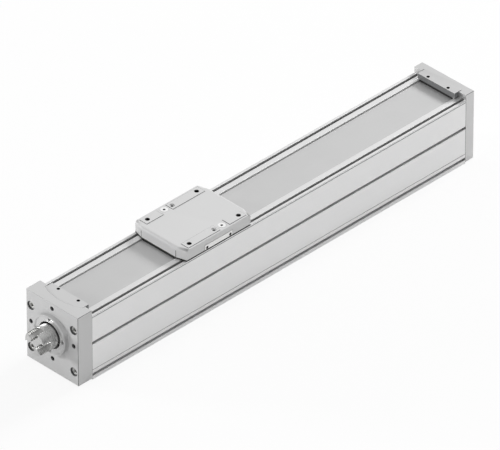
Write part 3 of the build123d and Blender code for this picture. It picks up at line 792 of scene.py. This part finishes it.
class AXIS_OT_cover_screws(bpy.types.Operator):
    """Place the knurled cap screws of both covers"""

    bl_idname = "axis.cover_screws"
    bl_label = "Cover screws"

    def execute(self, context):
        finishes()
        sizes = context.scene.axis_sizes
        tree = cap_screw_tree()
        for node, side in (("drive_cover_screws", -1), ("end_cover_screws", 1)):
            low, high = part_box(node)
            length = high.x - low.x - sizes.head_height
            source = bpy.data.objects.new("screw_source", cap_screw_mesh(length, sizes))
            seat = low.x + sizes.head_height if side < 0 else high.x - sizes.head_height
            run_tree(
                node + "_finished", tree,
                {
                    "Head": source,
                    "Centre": (seat, 0, (low.z + high.z) / 2),
                    "Rotation": (0, side * math.pi / 2, 0),
                    "Spread X": high.z - low.z - 2 * sizes.head_radius,
                    "Spread Y": high.y - low.y - 2 * sizes.head_radius,
                },
                "frame", [node],
            )
            bpy.data.objects.remove(source)
        return {"FINISHED"}


class AXIS_OT_threads(bpy.types.Operator):
    """Wind the wire threads into the load holes and the flange holes"""

    bl_idname = "axis.threads"
    bl_label = "Threads"

    def execute(self, context):
        finishes()
        sizes = context.scene.axis_sizes
        tree = thread_tree()
        shared = {"Wire": sizes.wire, "Turns": 10.0}
        load_floor, flange_start = 8.8 * MM, 1.2 * MM
        run_tree(
            "load_threads", tree,
            {
                **shared, "Wall radius": sizes.load_radius + sizes.wire / 4,
                "Spread X": sizes.load_x, "Spread Y": sizes.load_y,
                "Centre": (CARRIAGE_X, 0, CARRIAGE[1].z - load_floor),
            },
            "carriage",
        )
        face = PROFILE[0].x - sizes.cover_length
        run_tree(
            "drive_flange_threads", tree,
            {
                **shared, "Wall radius": sizes.flange_radius + sizes.wire / 4,
                "Ring radius": sizes.flange_ring,
                "Centre": (face + flange_start, 0, SHAFT_Z), "Rotation": (0, math.pi / 2, 0),
            },
            "frame",
        )
        return {"FINISHED"}


class AXIS_OT_drive(bpy.types.Operator):
    """Make the ball screw and finish the coupling half, nuts and bearings"""

    bl_idname = "axis.drive"
    bl_label = "Screw and drive end"

    def execute(self, context):
        finishes()
        sizes = context.scene.axis_sizes
        low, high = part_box("ball_screw")
        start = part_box("drive_bearing_inner")[1].x
        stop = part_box("end_bearing_inner")[0].x
        run_tree(
            "ball_screw_finished", ball_screw_tree(),
            {
                "Length": stop - start, "Start": start, "Pitch": sizes.pitch, "Groove": sizes.groove,
                "Height": SHAFT_Z, "Drive end": low.x, "Far end": high.x,
            },
            "screw", ["ball_screw"],
        )
        finish_node("coupling_hub", "screw", "turned_aluminium", sizes.edge, 0)
        finish_node("shaft_nut", "screw", "turned_steel", sizes.small_edge, 0)
        finish_node("ring_nut", "frame", "turned_steel", sizes.small_edge, 0)
        for node, body in (
            ("drive_bearing_inner", "screw"), ("end_bearing_inner", "screw"),
            ("drive_bearing_outer", "frame"), ("end_bearing_outer", "frame"),
        ):
            finish_node(node, body, "ground_steel", sizes.small_edge)
        return {"FINISHED"}


class AXIS_OT_carriage(bpy.types.Operator):
    """Finish the carriage, its side plates, nipples and wipers"""

    bl_idname = "axis.carriage"
    bl_label = "Carriage"

    def execute(self, context):
        finishes()
        sizes = context.scene.axis_sizes
        top, side_margin = CARRIAGE[1].z, 0.1 * MM
        pad_foot, pad_rim = top - 0.31 * MM, top - 0.1 * MM
        low, high = PROFILE[1].z + sizes.slide_gap, PROFILE[1].z + sizes.shade_foot_height

        def pad_side(centre, normal):
            return centre.z > pad_foot and normal.z < 0.97

        def foot(centre, normal):
            return low < centre.z < high and abs(normal.z) < 0.9

        loads = corners((CARRIAGE_X, 0, 0), (sizes.load_x, sizes.load_y, 0))
        centres = corners((CARRIAGE_X, 0, 0), (0, sizes.load_y, 0))
        # painted shade on the pads' side faces, a black band round the carriage's foot and the walls of the
        # load holes and centre bores
        accents = (
            ("oiled_bore", pad_side),
            ("moulded_rubber", foot),
            ("oiled_bore", hole_walls(2, sizes.load_radius, loads)),
            ("oiled_bore", hole_walls(2, sizes.centre_radius, centres)),
        )
        finish_node(
            "carriage_body", "carriage", "anodised_carriage", sizes.carriage_edge,
            accents=accents, above=pad_rim, cut=high,
        )
        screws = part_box("side_plate_screws")
        radius = (screws[1].z - screws[0].z) / 2
        spread = (screws[1].x - screws[0].x - 2 * radius, 0, 0)
        holes = corners((CARRIAGE_X, 0, (screws[0].z + screws[1].z) / 2), spread)
        # painted shade on the walls of the screw holes and on the plates' foot
        accents = (("oiled_bore", hole_walls(1, radius + side_margin, holes)), ("moulded_rubber", foot))
        finish_node(
            "side_plates", "carriage", "nickel_plate", sizes.small_edge, accents=accents, cut=high
        )
        # the screws themselves are black in their own finish
        finish_node("side_plate_screws", "carriage", "oiled_bore", sizes.small_edge * 0.5)
        low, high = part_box("grease_nipples")
        radius = sizes.nipple_radius
        points = [
            Vector((low.x + radius, high.y - radius, 0)), Vector((high.x - radius, low.y + radius, 0)),
        ]
        # painted shade: the nipples' centres round their holes take the near black
        accents = (("oiled_bore", hole_walls(2, radius / 2, points)),)
        finish_node("grease_nipples", "carriage", "white_acetal", sizes.small_edge, 0, accents)
        finish_node("band_wipers", "carriage", "moulded_rubber", sizes.small_edge)
        return {"FINISHED"}


class AXIS_OT_painted_gaps(bpy.types.Operator):
    """Put black strips of painted shade in the gaps under the carriage and the covers' tongues"""

    bl_idname = "axis.seals"
    bl_label = "Shade strips"

    def execute(self, context):
        finishes()
        sizes = context.scene.axis_sizes
        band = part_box("cover_band")
        wide, proud = band[1].y - 0.2 * MM, 0.04 * MM
        end, bottom = CARRIAGE[1].x - CARRIAGE_X, PROFILE[1].z
        foot_inset, foot_width, foot_gap = 0.02 * MM, 1.5 * MM, 0.06 * MM
        end_shade_depth, end_shade_gap, end_shade_top = 1.8 * MM, 0.1 * MM, 0.4 * MM
        strip_half, strip_depth, strip_top = 0.2 * MM, 0.4 * MM, CARRIAGE[1].z - 3.5 * MM
        tongue_proud, tongue_depth = 0.02 * MM, 1.2 * MM
        tongue_gap, tongue_top = 0.01 * MM, 0.8 * MM

        def outline(offset):
            quarter = ((end + offset, sizes.face_half), (sizes.side_half, PROFILE[1].y + offset))
            points = list(quarter)
            points += [(-x, y) for x, y in reversed(quarter)]
            points += [(-x, -y) for x, y in quarter]
            points += [(x, -y) for x, y in reversed(quarter)]
            return [(CARRIAGE_X + x, y) for x, y in points]

        work = bmesh.new()
        # painted shade: a black ring fills the gap between the carriage's foot and the profile
        add_ring(
            work, outline(-foot_inset), outline(-foot_width), bottom + foot_gap, bottom + sizes.slide_gap
        )
        for side in (-1, 1):
            face = CARRIAGE_X + side * (end + proud)
            # painted shade: a black block fills the gap under each end face, above the band
            xs = sorted((face, CARRIAGE_X + side * (end - end_shade_depth)))
            add_box(work, (xs[0], -wide, band[1].z + end_shade_gap), (xs[1], wide, bottom + end_shade_top))
            # painted shade: a thin black strip stands up each corner of the end face, where the crease falls
            # into shade
            xs = sorted((face, CARRIAGE_X + side * (end - strip_depth)))
            for y in (-sizes.face_half, sizes.face_half):
                add_box(
                    work, (xs[0], y - strip_half, bottom + end_shade_top), (xs[1], y + strip_half, strip_top)
                )
        new_piece(
            "carriage_seals", work_mesh("carriage_seals", work), "carriage", "moulded_rubber"
        )
        work = bmesh.new()
        tip = PROFILE[1].x - sizes.tongue_reach
        # painted shade: a black block fills the gap under each tongue's tip, above the band
        for side in (-1, 1):
            xs = sorted((side * (tip - tongue_proud), side * (tip + tongue_depth)))
            add_box(work, (xs[0], -wide, band[1].z + tongue_gap), (xs[1], wide, bottom + tongue_top))
        new_piece("tongue_seals", work_mesh("tongue_seals", work), "frame", "moulded_rubber")
        return {"FINISHED"}


class AXIS_OT_guides(bpy.types.Operator):
    """Finish the rail, the guide blocks, the nut and their screws"""

    bl_idname = "axis.guides"
    bl_label = "Guides and nut"

    def execute(self, context):
        finishes()
        sizes = context.scene.axis_sizes
        finish_node("guide_rail", "frame", "ground_steel", sizes.edge)
        finish_node("rail_screws", "frame", "blackened_steel", sizes.small_edge)
        for node in ("front_guide_block", "rear_guide_block", "ball_nut"):
            finish_node(node, "carriage", "ground_steel", sizes.edge)
        finish_node("guide_block_caps", "carriage", "moulded_polyamide", sizes.edge)
        for node in ("guide_block_screws", "nut_screws"):
            finish_node(node, "carriage", "blackened_steel", sizes.small_edge)
        return {"FINISHED"}


class AXIS_OT_stage(bpy.types.Operator):
    """Set the floor, the lights and the camera"""

    bl_idname = "axis.stage"
    bl_label = "Stage"

    def execute(self, context):
        scene = context.scene
        setup = scene.axis_stage
        middle, shift_right, shift_up = Vector((-3.3 * MM, 0, 30 * MM)), 2.428 * MM, 1.613 * MM
        floor_half, glow_share = 30, 0.88
        scene.view_settings.view_transform = "Standard"

        back = Vector(
            (
                math.sin(setup.azimuth) * math.cos(setup.elevation),
                -math.cos(setup.azimuth) * math.cos(setup.elevation),
                math.sin(setup.elevation),
            )
        )
        camera = bpy.data.objects.new("camera", bpy.data.cameras.new("camera"))
        scene.collection.objects.link(camera)
        camera.data.sensor_width = 36
        camera.data.lens = setup.lens
        camera.data.clip_start, camera.data.clip_end = 0.1, 100
        turn = (-back).to_track_quat("-Z", "Y")
        right, up = turn @ Vector((1, 0, 0)), turn @ Vector((0, 1, 0))
        aim = middle - right * shift_right + up * shift_up
        camera.location = aim + back * setup.distance
        camera.rotation_mode = "QUATERNION"
        camera.rotation_quaternion = turn
        scene.camera = camera

        floor = bpy.data.meshes.new("floor")
        signs = ((-1, -1), (1, -1), (1, 1), (-1, 1))
        floor.from_pydata([(x * floor_half, y * floor_half, 0) for x, y in signs], [], [(0, 1, 2, 3)])
        ground = bpy.data.objects.new("floor", floor)
        scene.collection.objects.link(ground)
        paper = bpy.data.materials.new("white_paper")
        paper.use_nodes = True
        tree = paper.node_tree
        tree.nodes.clear()
        # matt white paper that shows almost white to the camera and keeps a faint shadow
        matt = add_node(tree, "ShaderNodeBsdfDiffuse", {"Color": (0.9, 0.9, 0.9, 1)})
        glow = add_node(tree, "ShaderNodeEmission", {"Color": (1, 1, 1, 1), "Strength": 1.0})
        path = add_node(tree, "ShaderNodeLightPath")
        share = add_node(
            tree, "ShaderNodeMath", {0: path.outputs["Is Camera Ray"], 1: glow_share},
            operation="MULTIPLY",
        )
        mixed = add_node(
            tree, "ShaderNodeMixShader", {0: share.outputs[0], 1: matt.outputs[0], 2: glow.outputs[0]}
        )
        add_node(tree, "ShaderNodeOutputMaterial", {0: mixed.outputs[0]})
        floor.materials.append(paper)

        world = bpy.data.worlds.new("studio")
        scene.world = world
        world.use_nodes = True
        tree = world.node_tree
        tree.nodes.clear()
        # a soft box overhead that fades towards the horizon
        place = add_node(tree, "ShaderNodeTexCoord").outputs["Generated"]
        rise = add_node(tree, "ShaderNodeSeparateXYZ", {0: place}).outputs[2]
        level = add_node(
            tree, "ShaderNodeMapRange", {"Value": rise, "To Min": setup.horizon, "To Max": setup.zenith}
        )
        even = add_node(
            tree, "ShaderNodeBackground", {"Color": (1, 1, 1, 1), "Strength": level.outputs[0]}
        )
        white = add_node(tree, "ShaderNodeBackground", {"Color": (1, 1, 1, 1), "Strength": 1.0})
        path = add_node(tree, "ShaderNodeLightPath")
        mixed = add_node(
            tree, "ShaderNodeMixShader",
            {0: path.outputs["Is Camera Ray"], 1: even.outputs[0], 2: white.outputs[0]},
        )
        add_node(tree, "ShaderNodeOutputWorld", {0: mixed.outputs[0]})

        # places and widths of the lamps in metres; both aim at the origin
        for name, place, size, power in (
            ("key", (3.7, 0.0, 2.4), 1.3, setup.key),
            ("fill", (-2.2, 3.0, 0.75), 0.9, setup.fill),
        ):
            lamp = bpy.data.lights.new(name, "AREA")
            lamp.shape = "DISK"
            lamp.size = size
            lamp.energy = power
            holder = bpy.data.objects.new(name, lamp)
            scene.collection.objects.link(holder)
            holder.location = place
            holder.rotation_mode = "QUATERNION"
            holder.rotation_quaternion = (-holder.location).to_track_quat("-Z", "Y")
        return {"FINISHED"}


STEPS = ("profile", "covers", "cover_screws", "threads", "drive", "carriage", "seals", "guides", "stage")


class AXIS_PT_panel(bpy.types.Panel):
    """Lists the steps that dress the axis"""

    bl_label = "Linear axis"
    bl_idname = "AXIS_PT_panel"
    bl_space_type = "VIEW_3D"
    bl_region_type = "UI"
    bl_category = "Linear axis"

    def draw(self, context):
        for step in STEPS:
            self.layout.operator("axis." + step)
        for group in (context.scene.axis_finish, context.scene.axis_sizes, context.scene.axis_stage):
            for name in group.bl_rna.properties.keys():
                if name not in ("rna_type", "name"):
                    self.layout.prop(group, name)


CLASSES = (
    AXIS_PG_finish, AXIS_PG_sizes, AXIS_PG_stage, AXIS_OT_profile, AXIS_OT_covers, AXIS_OT_cover_screws,
    AXIS_OT_threads, AXIS_OT_drive, AXIS_OT_carriage, AXIS_OT_painted_gaps, AXIS_OT_guides, AXIS_OT_stage,
    AXIS_PT_panel,
)


def register():
    for cls in CLASSES:
        bpy.utils.register_class(cls)
    bpy.types.Scene.axis_finish = bpy.props.PointerProperty(type=AXIS_PG_finish)
    bpy.types.Scene.axis_sizes = bpy.props.PointerProperty(type=AXIS_PG_sizes)
    bpy.types.Scene.axis_stage = bpy.props.PointerProperty(type=AXIS_PG_stage)


def unregister():
    for name in ("axis_finish", "axis_sizes", "axis_stage"):
        delattr(bpy.types.Scene, name)
    for cls in reversed(CLASSES):
        bpy.utils.unregister_class(cls)


def main():
    """Dresses the axis in order."""
    register()
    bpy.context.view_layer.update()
    for step in STEPS:
        getattr(bpy.ops.axis, step)()


if __name__ == "__main__":
    main()
